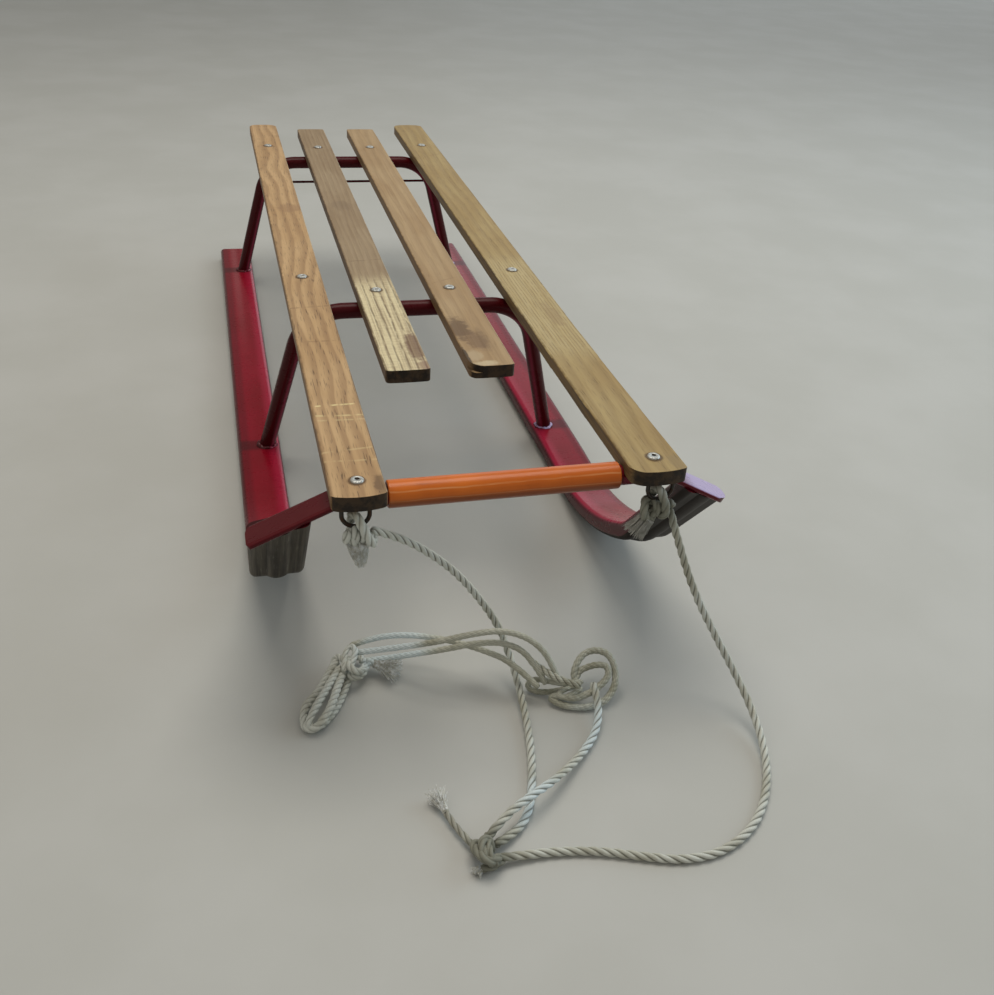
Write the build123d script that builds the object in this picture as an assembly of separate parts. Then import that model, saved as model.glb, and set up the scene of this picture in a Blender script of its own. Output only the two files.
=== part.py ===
from build123d import *
import math
import os

# A child's slatted toboggan: two flat-oval runners that curl up at the nose, two tube
# arches welded on them, four wooden slats, a cross tube with a grip sleeve, and a pull
# rope that lies on the floor in front.
# Millimetres, +Z up. The origin is on the floor under the middle of the slats and
# midway between the runners. The nose points to -Y, and +X is to the right of someone
# who stands in front and looks at the nose.

os.makedirs("parts", exist_ok=True)

# Deck
deck_length = 1000.0        # outer slats, end to end
deck_height = 187.0         # floor to the slats' top where they lie flat
slat_thick = 11.0
slat_ease = 1.3             # rounding of the slats' long edges
nose_rise = 4.0             # how far the outer slats' front ends spring up
nose_rise_length = 380.0    # stretch of slat over which they do
outer_x = 103.7             # centre line of the outer slats
outer_corner = 12.0
worn_corner = 4.5           # front corners that are worn to an edge
outer_bow = 3.5             # how far the outer slats' ends stand out in the middle
trim_clear = 0.01           # each side, from a slat to the prism that trims it
inner_corner = 4.0
foot_well = 187.0           # outer slats' front ends to the inner slats' front ends
inner_rear_setback = 25.5   # outer slats' rear ends to the inner slats' rear ends

# Runners
runner_gap = 310.0          # centre to centre
runner_width = 42.0
runner_height = 16.0
runner_corner = 5.5
runner_wall = 1.5
nose_wall = 3.0             # closes the tube under the strap
runner_rear_setback = 26.0  # slats' rear ends to the runners' rear ends
lift_radius = 340.0         # of the centre line, first the gentle part
lift_angle = 32.0
curl_radius = 60.0          # then a short tight part, then straight to the nose
curl_angle = 16.5
right_toe_in = 5.5          # how far the right runner's nose is bent in
toe_radius = 2000.0         # of the bend that takes it in
bead_width = 16.0           # rolled along the middle of the curl's underside
bead_height = 2.5
bead_start_angle = 9.0      # of the lift at which it begins
bead_run_in = 12.0          # length over which it rises to its full height

# Arches
arch_tube = 15.0
arch_wall = 1.5
arch_corner_x = 107.0       # where the beam's and the leg's centre lines cross
arch_foot_x = 147.0
arch_bend = 48.0            # centre-line radius of the shoulders
front_beam_setback = 358.0  # slats' front ends to the front arch's beam
front_foot_back = 27.0      # from a beam back to its feet
rear_beam_setback = 130.0   # slats' rear ends to the rear arch's beam
rear_foot_back = 16.0
tie_rod_d = 3.0
tie_rod_drop = 26.5         # below the beam's centre line

# Lugs that carry the outer slats behind the shoulders
lug_width = 20.0
lug_thick = 3.0
front_lug_reach = 54.0      # from the beam's centre line to the lug's end
rear_lug_reach = 26.0

# Cross tube at the nose
bridge_setback = 22.85      # slats' front ends to the cross tube's axis
bridge_tube = 15.0
bridge_wall = 1.5
bridge_round_half = 82.8    # half the length that stays round, as far as the slats
press_length = 13.0         # over which it goes from round to pressed flat
strap_width = 23.0
strap_thick = 4.5
strap_bend_x = 117.0
strap_bend_radius = 14.0
strap_angle_left = 24.0
strap_angle_right = 28.0
strap_rear_corner = 8.0     # roundings of the tips
tip_corner_left = 3.0       # the left tip is nearly square in front
tip_corner_right = 14.0     # the right tip is ground off there
tip_short_right = 4.0       # from the right runner's side to its tip, the left is flush
strap_lead = 2.0            # how far the strap sits ahead of the runner's nose
seat_clear = 0.05           # between the slats and what carries them at the nose
grip_d = 19.2
grip_clear = 0.1
grip_left_x = -83.0
grip_right_x = 80.5

# Rope eyes and rope
eye_wire = 3.0
eye_radius = 9.2
eye_leg = 5.0
eye_x = 106.3
eye_setback = 5.5           # from the slats' front ends to the eyes' plane
rope_d = 6.0

# Worked out from the sizes above
deck_under_z = deck_height - slat_thick
nose_under_z = deck_under_z + nose_rise
front_y = -deck_length / 2
rear_y = deck_length / 2
inner_front_y = front_y + foot_well
inner_rear_y = rear_y - inner_rear_setback
runner_rear_y = rear_y - runner_rear_setback
front_beam_y = front_y + front_beam_setback
front_foot_y = front_beam_y + front_foot_back
rear_beam_y = rear_y - rear_beam_setback
rear_foot_y = rear_beam_y + rear_foot_back
runner_x = runner_gap / 2
arch_axis_z = deck_under_z - arch_tube / 2
run_z = runner_height / 2



def slat_under_z(y):
    """Underside of an outer slat, which springs up towards the front."""
    sprung = max(0.0, front_y + nose_rise_length - y) / nose_rise_length
    return deck_under_z + nose_rise * sprung**2


# The slats lie on the strap's rear edge. The cross tube is pressed evenly from above
# and below, so the strap's mid plane is the tube's own.
bridge_y = front_y + bridge_setback
strap_top_z = slat_under_z(bridge_y + strap_width / 2) - seat_clear
strap_mid_z = strap_top_z - strap_thick / 2
bridge_axis_z = strap_mid_z

full_angle = lift_angle + curl_angle
sin_lift = math.sin(math.radians(lift_angle))
cos_lift = math.cos(math.radians(lift_angle))
sin_full = math.sin(math.radians(full_angle))
cos_full = math.cos(math.radians(full_angle))


def strap_height(x, angle):
    """The strap's mid plane where it falls outwards onto the runner."""
    return strap_mid_z - (x - strap_bend_x) * math.tan(math.radians(angle))


def tube_on(path, outer, bore):
    """A round tube along a path, with its bore."""
    start = Plane(origin=path @ 0, z_dir=path % 0)
    skin = sweep(start * Circle(outer / 2), path=path)
    hole = sweep(start * Circle(bore / 2), path=path)
    return skin - hole


def capsule(first, last, radius):
    """A round-ended rod, the outer shape of a knot or a hank."""
    first = Vector(*first)
    last = Vector(*last)
    along = Plane(origin=(first + last) / 2, z_dir=last - first)
    rod = along * Cylinder(radius, (last - first).length)
    return rod + Pos(first) * Sphere(radius) + Pos(last) * Sphere(radius)


def cushion(x, y, radius, height, rounding):
    """A round-edged disc that lies on the floor, the outer shape of a bunch of loops."""
    disc = Pos(x, y, height / 2) * Cylinder(radius, height)
    return fillet(disc.edges().filter_by(GeomType.CIRCLE), rounding)


def save(shape, name):
    """Writes one piece and says how large it is."""
    solids = shape.solids()
    body = solids[0] if len(solids) == 1 else Compound(children=list(solids))
    print(f"{name}: {len(solids)} solid, {body.volume / 1000:.1f} cm3")
    export_step(body, f"parts/{name}.step")
    return body


# Slats. An outer slat is its side profile drawn across, an inner one is straight.
# columns: name, centre across, width, front end, rear end, rises at the nose,
# rounding of the front left corner, of the front right corner, of the rear corners
slats = [
    ("slat_outer_left", -outer_x, 37.0, front_y, rear_y, True, worn_corner, worn_corner, outer_corner),
    (
        "slat_inner_left", -38.9, 37.0, inner_front_y, inner_rear_y, False,
        inner_corner, inner_corner, inner_corner,
    ),
    (
        "slat_inner_right", 31.0, 38.0, inner_front_y, inner_rear_y, False,
        inner_corner, inner_corner, inner_corner,
    ),
    ("slat_outer_right", outer_x, 41.0, front_y, rear_y, True, outer_corner, worn_corner, outer_corner),
]


def slat_board(x, width, y0, y1, rises):
    """One slat before its corners are cut: flat, or sprung up at the front."""
    bend_y = y0 + nose_rise_length
    lift = nose_rise if rises else 0.0
    if not rises:
        side = Pos(0, (y0 + y1) / 2, deck_height - slat_thick / 2) * Box(width, y1 - y0, slat_thick)
        return Pos(x, 0, 0) * fillet(side.edges().filter_by(Axis.Y), slat_ease)
    mid_y = (y0 + bend_y) / 2
    with BuildSketch(Plane.YZ.offset(x - width / 2)) as profile:
        with BuildLine():
            Line((bend_y, deck_height), (y1, deck_height))
            Line((y1, deck_height), (y1, deck_under_z))
            Line((y1, deck_under_z), (bend_y, deck_under_z))
            ThreePointArc(
                (bend_y, deck_under_z),
                (mid_y, deck_under_z + lift / 4),
                (y0, deck_under_z + lift),
            )
            Line((y0, deck_under_z + lift), (y0, deck_height + lift))
            ThreePointArc(
                (y0, deck_height + lift),
                (mid_y, deck_height + lift / 4),
                (bend_y, deck_height),
            )
        make_face()
    board = extrude(profile.sketch, amount=width)
    long_edges = board.edges().filter_by(lambda e: e.length > nose_rise_length / 2)
    return fillet(long_edges, slat_ease)


def slat_plan(x, width, y0, y1, front_left, front_right, rear, bow):
    """The slat's outline from above, as a tall prism to trim the board with."""
    half = width / 2 + trim_clear
    with BuildSketch(Plane.XY) as plan:
        with BuildLine():
            Line((x - half, y0 + bow), (x - half, y1 - bow))
            ThreePointArc((x - half, y1 - bow), (x, y1), (x + half, y1 - bow))
            Line((x + half, y1 - bow), (x + half, y0 + bow))
            ThreePointArc((x + half, y0 + bow), (x, y0), (x - half, y0 + bow))
        make_face()
        fillet(plan.vertices().filter_by(lambda v: v.Y > y0 + width), rear)
        fillet(plan.vertices().filter_by(lambda v: v.Y < y0 + width and v.X < x)[:1], front_left)
        fillet(plan.vertices().filter_by(lambda v: v.Y < y0 + width and v.X > x + half - trim_clear), front_right)
    return extrude(plan.sketch, amount=2 * deck_height)


slat_solids = {}
for name, x, width, y0, y1, rises, front_left, front_right, rear in slats:
    bow = outer_bow if rises else outer_bow / 5
    board = slat_board(x, width, y0, y1, rises)
    slat_solids[name] = board & slat_plan(x, width, y0, y1, front_left, front_right, rear, bow)

# The inner right slat has lost its front left corner: a deep bite out of the top half
# and a smaller one out of the bottom half, which leaves a step.
broken = next(row for row in slats if row[0] == "slat_inner_right")
broken_x = broken[1] - broken[2] / 2
bite_side = 17.0
bite_end = 11.0
step_z = deck_height - 0.55 * slat_thick
for reach, low, high in (
    (1.0, step_z, deck_height + 5),
    (0.55, deck_under_z - 5, step_z),
):
    with BuildSketch(Plane.XY.offset(low)) as bite:
        with BuildLine():
            corner_point = (broken_x - 5, inner_front_y - 5)
            side_point = (broken_x - 5, inner_front_y + bite_side * reach)
            side_edge = (broken_x, inner_front_y + bite_side * reach)
            end_edge = (broken_x + bite_end * reach, inner_front_y)
            end_point = (broken_x + bite_end * reach, inner_front_y - 5)
            hollow = (broken_x + 0.30 * bite_end * reach, inner_front_y + 0.35 * bite_side * reach)
            Line(corner_point, side_point)
            Line(side_point, side_edge)
            ThreePointArc(side_edge, hollow, end_edge)
            Line(end_edge, end_point)
            Line(end_point, corner_point)
        make_face()
    slat_solids["slat_inner_right"] -= extrude(bite.sketch, amount=high - low)

for name, solid in slat_solids.items():
    save(solid, name)

# Cross tube: round in the middle, pressed flat under the outer slats, then folded
# down and out onto the runners' noses, where its tips end flush. Each half is drawn on
# the right, and the left one is then mirrored.
def bridge_half(angle, tip_x, front_corner):
    slope = math.radians(angle)
    round_part = Pos(bridge_round_half / 2, bridge_y, bridge_axis_z) * Rot(0, 90, 0) * Cylinder(
        bridge_tube / 2, bridge_round_half
    )
    bore = Pos(bridge_round_half / 2 - 2, bridge_y, bridge_axis_z) * Rot(0, 90, 0) * Cylinder(
        bridge_tube / 2 - bridge_wall, bridge_round_half - 4
    )
    near = Plane(origin=(bridge_round_half, bridge_y, bridge_axis_z), x_dir=(0, 1, 0), z_dir=(1, 0, 0))
    far_x = bridge_round_half + press_length
    far = Plane(origin=(far_x, bridge_y, strap_mid_z), x_dir=(0, 1, 0), z_dir=(1, 0, 0))
    nearly_round = near * SlotOverall(bridge_tube + 0.05, bridge_tube)
    pressed = far * SlotOverall(strap_width, strap_thick)
    neck = loft([nearly_round, pressed])
    # the slat bears on the neck, which is dented to the strap's height under it
    neck -= Pos(far_x, bridge_y, strap_top_z + bridge_tube / 2) * Box(
        2 * press_length, 2 * strap_width, bridge_tube
    )
    tip_z = strap_mid_z - (tip_x - strap_bend_x) * math.tan(slope)
    with BuildLine(Plane.XZ.offset(-bridge_y)) as run:
        FilletPolyline(
            (far_x, strap_mid_z),
            (strap_bend_x, strap_mid_z),
            (tip_x, tip_z),
            radius=strap_bend_radius,
        )
    strap = sweep(far * SlotOverall(strap_width, strap_thick), path=run.wire())
    # the tip's outline
    tip = Plane(
        origin=(tip_x, bridge_y, tip_z),
        x_dir=(math.cos(slope), 0, -math.sin(slope)),
        z_dir=(math.sin(slope), 0, math.cos(slope)),
    )
    half_width = strap_width / 2
    with BuildSketch() as rest:
        Rectangle(strap_width, strap_width, align=(Align.MAX, Align.CENTER))
        corners = rest.vertices().filter_by(lambda v: v.X > -1)
        fillet(corners.sort_by(Axis.Y)[-1], strap_rear_corner)
        fillet(rest.vertices().sort_by(lambda v: v.X - v.Y)[-1], front_corner)
    trim = Pos(-half_width, 0, -2 * strap_thick) * Box(
        strap_width, 2 * strap_width, 4 * strap_thick, align=(Align.CENTER, Align.CENTER, Align.MIN)
    ) - Pos(0, 0, -2 * strap_thick) * extrude(rest.sketch, amount=4 * strap_thick)
    strap -= tip * trim
    return (round_part - bore) + neck + strap


tip_right_x = runner_x - right_toe_in + runner_width / 2 - tip_short_right
tip_left_x = runner_x + runner_width / 2
bridge = bridge_half(strap_angle_right, tip_right_x, tip_corner_right) + mirror(
    bridge_half(strap_angle_left, tip_left_x, tip_corner_left), about=Plane.YZ
)
save(bridge, "bridge_tube")

# Grip sleeve on the cross tube, between the outer slats
grip_length = grip_right_x - grip_left_x
grip_place = Pos((grip_left_x + grip_right_x) / 2, bridge_y, bridge_axis_z) * Rot(0, 90, 0)
grip = grip_place * Cylinder(grip_d / 2, grip_length)
grip = fillet(grip.edges().filter_by(GeomType.CIRCLE), 1.0)
grip -= grip_place * Cylinder(bridge_tube / 2 + grip_clear, grip_length + 1)
save(grip, "grip_sleeve")

# Runners: a flat-oval tube swept along line, gentle arc, tight arc and nose line, with
# a bead along the curl's underside and its nose cut to the underside of the strap. Each
# is drawn on the right, and the left one is then mirrored.
def runner(toe_in, angle):
    nose_x = runner_x - toe_in
    seat_z = strap_height(nose_x, angle)
    # the centre line, worked out corner by corner from the nose back to the floor
    curl_z = run_z + lift_radius * (1 - cos_lift)
    nose_z = curl_z + curl_radius * (cos_lift - cos_full)
    reach = (seat_z - nose_z) / sin_full
    nose_t = lift_radius * sin_lift + curl_radius * (sin_full - sin_lift)
    lift_y = bridge_y + strap_lead + nose_t + reach * cos_full
    toe = math.asin(toe_in / (lift_y - bridge_y + toe_radius / 50))

    def at(t, z):
        """A point t ahead of where the lift begins, on the runner's own heading."""
        bend = toe_radius / 50
        return (runner_x - (t + bend) * math.sin(toe), lift_y + bend - (t + bend) * math.cos(toe), z)

    def on_lift(turn):
        turn = math.radians(turn)
        return at(lift_radius * math.sin(turn), run_z + lift_radius * (1 - math.cos(turn)))

    def on_curl(turn):
        turn = math.radians(turn)
        ahead = lift_radius * sin_lift + curl_radius * (math.sin(turn) - sin_lift)
        return at(ahead, curl_z + curl_radius * (cos_lift - math.cos(turn)))

    past = reach + 2 * runner_height
    nose_line = Line(on_curl(full_angle), at(nose_t + past * cos_full, nose_z + past * sin_full))
    curl_arc = ThreePointArc(on_curl(lift_angle), on_curl((lift_angle + full_angle) / 2), on_curl(full_angle))
    lift_arc = ThreePointArc(on_lift(0), on_lift(lift_angle / 2), on_lift(lift_angle))
    rear = (runner_x, runner_rear_y, run_z)
    if toe_in:
        corner = at(-toe_radius / 50, run_z)
        flat = FilletPolyline(rear, corner, on_lift(0), radius=toe_radius * 0.95)
    else:
        flat = Line(rear, on_lift(0))
    path = Wire(flat.edges() + lift_arc.edges() + curl_arc.edges() + nose_line.edges())
    start = Plane(origin=rear, x_dir=(1, 0, 0), z_dir=(0, -1, 0))
    skin = sweep(start * RectangleRounded(runner_width, runner_height, runner_corner), path=path)
    bore = sweep(
        start * RectangleRounded(
            runner_width - 2 * runner_wall, runner_height - 2 * runner_wall, runner_corner - runner_wall
        ),
        path=path,
    )
    bead = curl_bead(on_lift, curl_arc, nose_line)
    slope = math.radians(angle)
    under = Plane(
        origin=(nose_x, bridge_y, seat_z),
        x_dir=(math.cos(slope), 0, -math.sin(slope)),
        z_dir=(math.sin(slope), 0, math.cos(slope)),
    )
    cut_size = 6 * runner_height

    def above(depth):
        """All that lies higher than a depth below the strap's underside."""
        high = cut_size / 2 - strap_thick / 2 - depth
        return under * (Pos(0, 0, high) * Box(cut_size, cut_size, cut_size))

    tube = (skin + bead) - (bore - above(nose_wall)) - above(0)
    print(f"runner: leaves the floor at {lift_y:.1f}, straight to the nose over {reach:.1f}")
    return max(tube.solids(), key=lambda s: s.volume)


def curl_bead(on_lift, curl_arc, nose_line):
    """A low rounded bead under the curl, which rises over a short run-in."""
    middle = (bead_start_angle + lift_angle) / 2
    first = ThreePointArc(on_lift(bead_start_angle), on_lift(middle), on_lift(lift_angle))
    path = Wire(first.edges() + curl_arc.edges() + nose_line.edges())
    ahead = first % 0
    across = Vector(0, 0, 1).cross(ahead)
    section = Plane(origin=first @ 0, x_dir=across, z_dir=ahead)
    down = -1 if section.y_dir.Z > 0 else 1
    edge = down * runner_height / 2
    sunk = edge - down * runner_wall / 2
    half_bead = bead_width / 2
    with BuildSketch(section) as profile:
        with BuildLine():
            Line((-half_bead, sunk), (half_bead, sunk))
            Line((half_bead, sunk), (half_bead, edge))
            ThreePointArc((half_bead, edge), (0, edge + down * bead_height), (-half_bead, edge))
            Line((-half_bead, edge), (-half_bead, sunk))
        make_face()
    bead = sweep(profile.sketch, path=path)
    up = section.y_dir * -down
    tilt = bead_height / bead_run_in
    ramp = Plane(
        origin=(first @ 0) - up * (runner_height / 2),
        x_dir=across,
        z_dir=(up + ahead.normalized() * tilt).normalized(),
    )
    block = 5 * runner_width
    return bead - ramp * (Pos(0, 0, -block / 2) * Box(block, block, block))


runner_right = runner(right_toe_in, strap_angle_right)
save(runner_right, "runner_right")
save(mirror(runner(0.0, strap_angle_left), about=Plane.YZ), "runner_left")


def arch(beam_y, foot_y):
    """A bent tube: two leaning legs and a beam, its feet cut to the runners' top."""
    lean = (foot_y - beam_y) / (arch_axis_z - runner_height)
    splay = (arch_foot_x - arch_corner_x) / (arch_axis_z - runner_height)
    sunk = run_z
    foot = (arch_foot_x + splay * sunk, foot_y + lean * sunk, runner_height - sunk)
    path = FilletPolyline(
        (-foot[0], foot[1], foot[2]),
        (-arch_corner_x, beam_y, arch_axis_z),
        (arch_corner_x, beam_y, arch_axis_z),
        foot,
        radius=arch_bend,
    )
    bent = tube_on(path, arch_tube, arch_tube - 2 * arch_wall)
    floor_block = Pos(0, foot_y, 0) * Box(3 * arch_foot_x, 4 * arch_foot_x, 2 * runner_height)
    return bent - floor_block, lean


front_arch, front_lean = arch(front_beam_y, front_foot_y)
rear_arch, rear_lean = arch(rear_beam_y, rear_foot_y)
save(front_arch, "arch_front")
save(rear_arch, "arch_rear")

# Thin rod across the rear arch, a little below its beam, from leg to leg
rod_z = arch_axis_z - tie_rod_drop
rod = Pos(0, rear_beam_y + rear_lean * tie_rod_drop, rod_z) * Rot(0, 90, 0) * Cylinder(
    tie_rod_d / 2, 2 * arch_corner_x + tie_rod_d
)
rod = rod - rear_arch
rod = max(rod.solids(), key=lambda s: s.volume)
save(rod, "tie_rod_rear")


def lug(side, beam_y, reach, tube):
    """A plate under an outer slat with a web down onto the arch's shoulder."""
    x = side * outer_x
    plate = Pos(x, beam_y + reach / 2, deck_under_z - lug_thick / 2) * Box(lug_width, reach, lug_thick)
    web_depth = arch_tube * 1.3
    web_z = deck_under_z - web_depth / 2
    web = Pos(x, beam_y + lug_thick / 2, web_z) * Box(lug_width, lug_thick, web_depth)
    piece = (plate + web) - tube
    return max(piece.solids(), key=lambda s: s.volume)


def solid_arch(beam_y, foot_y):
    """The arch's outer shape, without its bore, to cut neighbours with."""
    lean = (foot_y - beam_y) / (arch_axis_z - runner_height)
    path = FilletPolyline(
        (-arch_foot_x, foot_y, runner_height),
        (-arch_corner_x, beam_y, arch_axis_z),
        (arch_corner_x, beam_y, arch_axis_z),
        (arch_foot_x, foot_y, runner_height),
        radius=arch_bend,
    )
    start = Plane(origin=path @ 0, z_dir=path % 0)
    return sweep(start * Circle(arch_tube / 2), path=path)


front_outer = solid_arch(front_beam_y, front_foot_y)
rear_outer = solid_arch(rear_beam_y, rear_foot_y)
for side, word in ((-1, "left"), (1, "right")):
    save(lug(side, front_beam_y, front_lug_reach, front_outer), f"lug_front_{word}")
    save(lug(side, rear_beam_y, rear_lug_reach, rear_outer), f"lug_rear_{word}")

# Wire eyes under the outer slats' front ends
eye_y = front_y + eye_setback
eye_top_z = slat_under_z(eye_y + eye_wire / 2) - seat_clear
eyes = {}
for side, word in ((-1, "left"), (1, "right")):
    x = side * eye_x
    with BuildLine(Plane.XZ.offset(-eye_y)) as loop:
        Line((x - eye_radius, eye_top_z), (x - eye_radius, eye_top_z - eye_leg))
        ThreePointArc(
            (x - eye_radius, eye_top_z - eye_leg),
            (x, eye_top_z - eye_leg - eye_radius),
            (x + eye_radius, eye_top_z - eye_leg),
        )
        Line((x + eye_radius, eye_top_z - eye_leg), (x + eye_radius, eye_top_z))
    wire_path = loop.wire()
    start = Plane(origin=wire_path @ 0, z_dir=wire_path % 0)
    eyes[word] = sweep(start * Circle(eye_wire / 2), path=wire_path)
    save(eyes[word], f"eye_{word}")

# Knots: on the eyes, on the floor where the two sides meet, the tangle and the hank.
# An eye's knot is the turn round the wire, the knot itself and the frayed end under it.
# columns: across from, below the wire from, across to, below the wire to, ahead, radius
wire_low_z = eye_top_z - eye_leg - eye_radius
left_rods = [
    (0.0, -7.0, 10.0, 8.0, 2.1, 5.0),
    (-4.5, 4.5, 4.0, 6.0, 1.2, 8.0),
    (1.0, 13.0, 2.5, 23.0, 0.5, 5.5),
]
right_rods = [
    (0.0, -6.5, 2.0, 7.0, 2.4, 4.8),
    (-5.5, 6.0, 8.0, 7.2, 1.0, 7.6),
    (-6.5, 12.5, -14.0, 26.0, 0.2, 6.4),
]


def eye_knot(x, rods):
    knot = None
    for across, below, to_across, to_below, ahead, radius in rods:
        rod = capsule(
            (x + across, eye_y - ahead, wire_low_z - below),
            (x + to_across, eye_y - ahead, wire_low_z - to_below),
            radius,
        )
        knot = rod if knot is None else knot + rod
    return knot


knot_left = eye_knot(-eye_x, left_rods)
knot_right = eye_knot(eye_x, right_rods)
knots = {
    "knot_eye_left": knot_left - eyes["left"],
    "knot_eye_right": knot_right - eyes["right"],
    "knot_floor": capsule((-44, -646, 8), (-44, -635, 8), 8.0),
    "tangle": cushion(68, -507, 25.0, 28.0, 11.0) + cushion(38, -505, 14.0, 20.0, 8.0),
    "hank": capsule((-138, -506, 10), (-114, -462, 10), 10.0) + Pos(-106, -447, 12) * Sphere(12.0),
}
for name, lump in knots.items():
    save(lump, name)

# Rope. Each route is x, y and how far its centre stands above a rope that lies flat.
lie_z = rope_d / 2
routes = {
    "rope_right": [
        (115, -497, 155), (126, -505, 121), (140, -514, 86), (156, -524, 56), (171, -537, 29),
        (179, -560, 10), (175, -594, 1), (160, -627, 0), (137, -654, 0), (108, -669, 0),
        (79, -670, 0), (52, -661, 0), (28, -652, 0), (3, -647, 0), (-20, -646, 1), (-41, -647, 4),
    ],
    "rope_left": [
        (-96, -494, 158), (-75, -486, 144), (-53, -478, 123), (-30, -470, 96), (-11, -466, 67),
        (4, -465, 41), (12, -474, 20), (15, -496, 6), (13, -527, 1), (8, -559, 0),
        (0, -590, 0), (-9, -613, 0), (-22, -628, 1), (-39, -637, 4),
    ],
    "rope_tail": [
        (-49, -641, 4), (-55, -627, 2), (-61, -612, 1), (-65, -598, 2), (-67, -586, 3),
    ],
    "rope_rise": [
        (-43, -634, 9), (-28, -622, 13), (-8, -611, 14), (14, -597, 10), (39, -574, 2),
        (60, -552, 1), (69, -528, 8), (69, -512, 11),
    ],
    "strand_top": [
        (43, -507, 13), (38, -498, 29), (24, -488, 42), (4, -482, 48), (-18, -481, 47),
        (-41, -478, 41), (-62, -469, 32), (-82, -459, 23), (-103, -450, 15),
    ],
    "strand_middle": [
        (34, -505, 10), (24, -493, 29), (7, -485, 38), (-15, -479, 36), (-36, -474, 29),
        (-57, -465, 20), (-77, -456, 11), (-99, -448, 4),
    ],
    "strand_back": [
        (27, -509, 11), (10, -493, 25), (-9, -478, 27), (-29, -464, 27), (-49, -453, 26),
        (-70, -444, 23), (-89, -439, 18), (-105, -439, 13),
    ],
}
ends = {
    "rope_right": ("knot_eye_right", "knot_floor"),
    "rope_left": ("knot_eye_left", "knot_floor"),
    "rope_tail": ("knot_floor",),
    "rope_rise": ("knot_floor", "tangle"),
    "strand_top": ("tangle", "hank"),
    "strand_middle": ("tangle", "hank"),
    "strand_back": ("tangle", "hank"),
}


def rope_path(points):
    """Straight runs joined by arcs that are as large as the runs allow."""
    at = [Vector(x, y, lie_z + z) for x, y, z in points]
    radii = []
    for before, here, after in zip(at[:-2], at[1:-1], at[2:]):
        shorter = min((here - before).length, (after - here).length)
        half_turn = math.radians((here - before).get_angle(after - here)) / 2
        radii.append(0.45 * shorter / math.tan(half_turn))
    return FilletPolyline(*at, radius=radii), radii


for name, points in routes.items():
    path, radii = rope_path(points)
    start = Plane(origin=path @ 0, z_dir=path % 0)
    rope = sweep(start * Circle(rope_d / 2), path=path)
    ideal = math.pi * rope_d**2 / 4 * path.length
    print(
        f"{name}: length {path.length:.0f}, tightest bend {min(radii):.0f},",
        f"volume {rope.volume / ideal:.4f} of section times length,",
        "radii " + " ".join(f"{r:.0f}" for r in radii),
    )
    for lump in ends[name]:
        rope = rope - knots[lump]
    rope = max(rope.solids(), key=lambda s: s.volume)
    save(rope, name)
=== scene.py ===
# %% [markdown]
# # A child's slatted toboggan
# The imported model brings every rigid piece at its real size: runners, arches, cross tube,
# slats. This lesson gives those pieces their paint, steel and worn wood, adds the small
# things that hold them together, and lays the pull rope on the floor in front.
# Everything is in metres, with +Z up and the nose towards -Y.

# %% Load the frame
import math
import random

import bmesh
import bpy
from mathutils import Matrix, Vector, noise


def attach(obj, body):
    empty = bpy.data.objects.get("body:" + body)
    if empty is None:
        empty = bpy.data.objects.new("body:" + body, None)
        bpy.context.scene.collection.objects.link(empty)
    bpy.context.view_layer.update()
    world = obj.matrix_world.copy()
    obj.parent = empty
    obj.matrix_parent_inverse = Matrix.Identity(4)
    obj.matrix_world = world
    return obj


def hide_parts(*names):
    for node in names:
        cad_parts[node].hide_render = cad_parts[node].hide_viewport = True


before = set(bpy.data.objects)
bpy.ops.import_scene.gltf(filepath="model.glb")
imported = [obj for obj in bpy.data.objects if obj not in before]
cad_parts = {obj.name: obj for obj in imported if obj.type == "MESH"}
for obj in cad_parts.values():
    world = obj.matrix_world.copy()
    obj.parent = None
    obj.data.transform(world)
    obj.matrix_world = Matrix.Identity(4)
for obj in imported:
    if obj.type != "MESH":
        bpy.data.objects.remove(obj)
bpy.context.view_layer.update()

scene = bpy.context.scene
MM = 0.001


def show(name, shape, *materials):
    """Makes a bmesh a smooth piece at the origin and puts it in the scene."""
    for face in shape.faces:
        face.smooth = True
    mesh = bpy.data.meshes.new(name)
    shape.to_mesh(mesh)
    shape.free()
    for material in materials:
        mesh.materials.append(material)
    piece = bpy.data.objects.new(name, mesh)
    scene.collection.objects.link(piece)
    return piece


def dress(material, *nodes):
    """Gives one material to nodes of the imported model."""
    for node in nodes:
        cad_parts[node].material_slots[0].material = material


# %% [markdown]
# ## Camera
# The photograph looks down on the nose from the left, from about half a metre up and
# half a metre away. Its place and turn were worked out from the straight edges of the
# slats and the line where the runners meet the floor. The three vectors are what the
# camera calls right, down and forward, so the object's matrix takes right, up and back.

# %% Camera
CAMERA_PLACE = Vector((-0.1771, -1.0549, 0.5494))
CAMERA_RIGHT = Vector((0.96741, -0.24608, 0.05962))
CAMERA_DOWN = Vector((-0.08367, -0.53296, -0.84199))
CAMERA_FORWARD = Vector((0.23897, 0.80957, -0.53618))
FOCAL_PIXELS = 1035
PICTURE_HEIGHT = 995

camera_data = bpy.data.cameras.new("camera")
camera_data.sensor_width = 36.0
camera_data.lens = FOCAL_PIXELS / PICTURE_HEIGHT * camera_data.sensor_width
camera_data.clip_start = 0.02
camera = bpy.data.objects.new("camera", camera_data)
turn = Matrix((CAMERA_RIGHT, -CAMERA_DOWN, -CAMERA_FORWARD)).transposed()
camera.matrix_world = Matrix.Translation(CAMERA_PLACE) @ turn.to_4x4()
scene.collection.objects.link(camera)
scene.camera = camera
print("lens", round(camera_data.lens, 2), "mm")

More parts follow.
